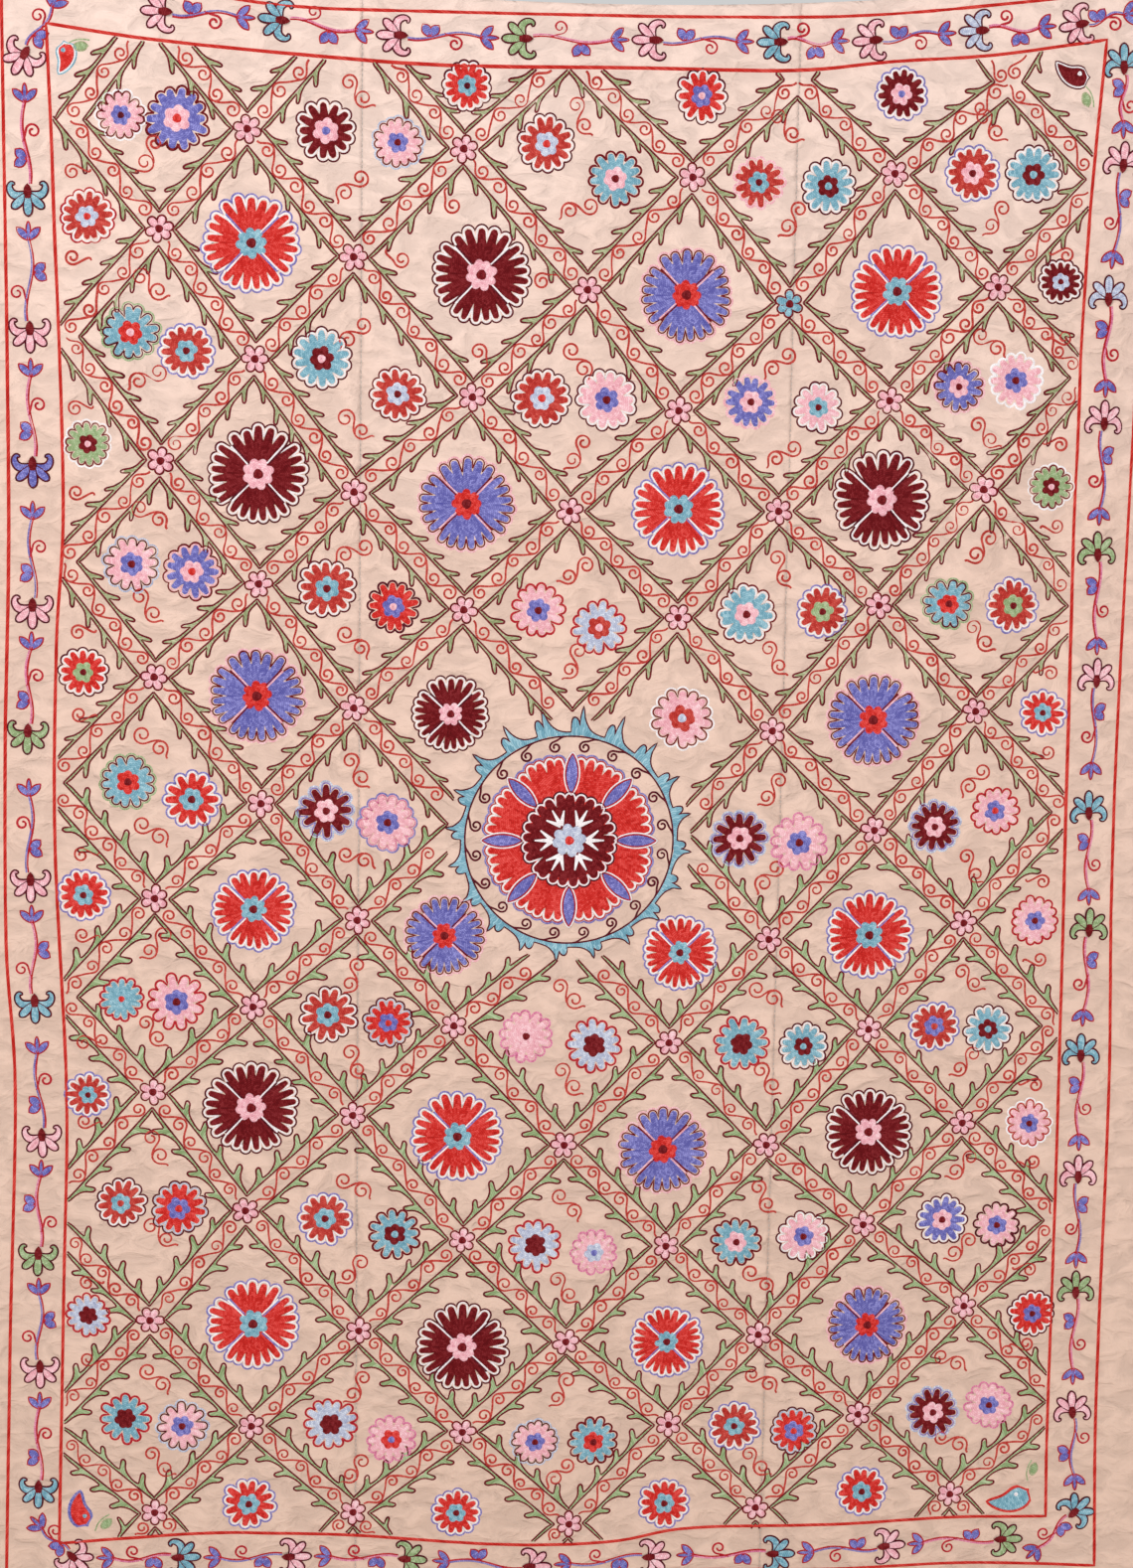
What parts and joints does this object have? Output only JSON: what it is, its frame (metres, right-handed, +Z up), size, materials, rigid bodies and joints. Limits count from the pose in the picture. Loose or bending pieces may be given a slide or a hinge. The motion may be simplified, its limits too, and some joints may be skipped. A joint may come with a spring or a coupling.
{
  "type": "suzani embroidered wall hanging",
  "caption": "Cotton wall hanging of three sewn panels, embroidered with a trellis of rosettes, hung by its top edge with soft folds.",
  "frame": {"origin": "middle of the top edge, on the worked face, where the hanging is held up", "axes": "+Z up the cloth, +X to the viewer's right, the worked face looks towards -Y"},
  "size_m": [1.76, 0.0193, 2.355],
  "materials": {
    "ground_cotton": "unbleached plain-weave cotton"
  },
  "bodies": {
    "root": {"panel_left": "ground_cotton", "panel_middle": "ground_cotton", "panel_right": "ground_cotton"}
  },
  "joints": []
}
